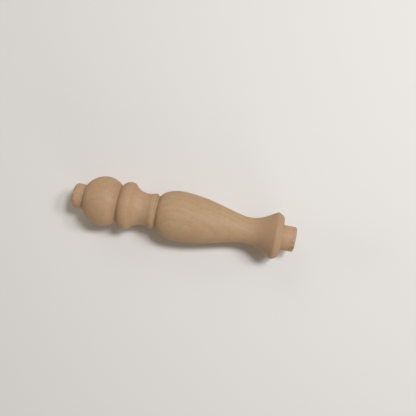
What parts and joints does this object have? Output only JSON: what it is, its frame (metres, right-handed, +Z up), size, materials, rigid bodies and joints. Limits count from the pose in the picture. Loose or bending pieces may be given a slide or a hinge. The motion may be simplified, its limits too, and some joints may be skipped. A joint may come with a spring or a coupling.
{
  "type": "wooden baluster",
  "caption": "Small turned wooden baluster for a gallery rail: ball, half-bead, cove, collar, vase-shaped belly and flared end, with a short round tenon at each end, lying on its side.",
  "frame": {"origin": "on the floor, under the middle of the baluster as it lies on its side", "axes": "+X along the turning's axis, from the ball end to the flared end; +Z up; the flats under the ball and the belly are at Z = 0"},
  "size_m": [0.09, 0.02, 0.0198],
  "materials": {
    "beech": "bare sanded steamed beech, satin, fine grain along the axis"
  },
  "bodies": {
    "root": {"baluster": "beech"}
  },
  "joints": []
}
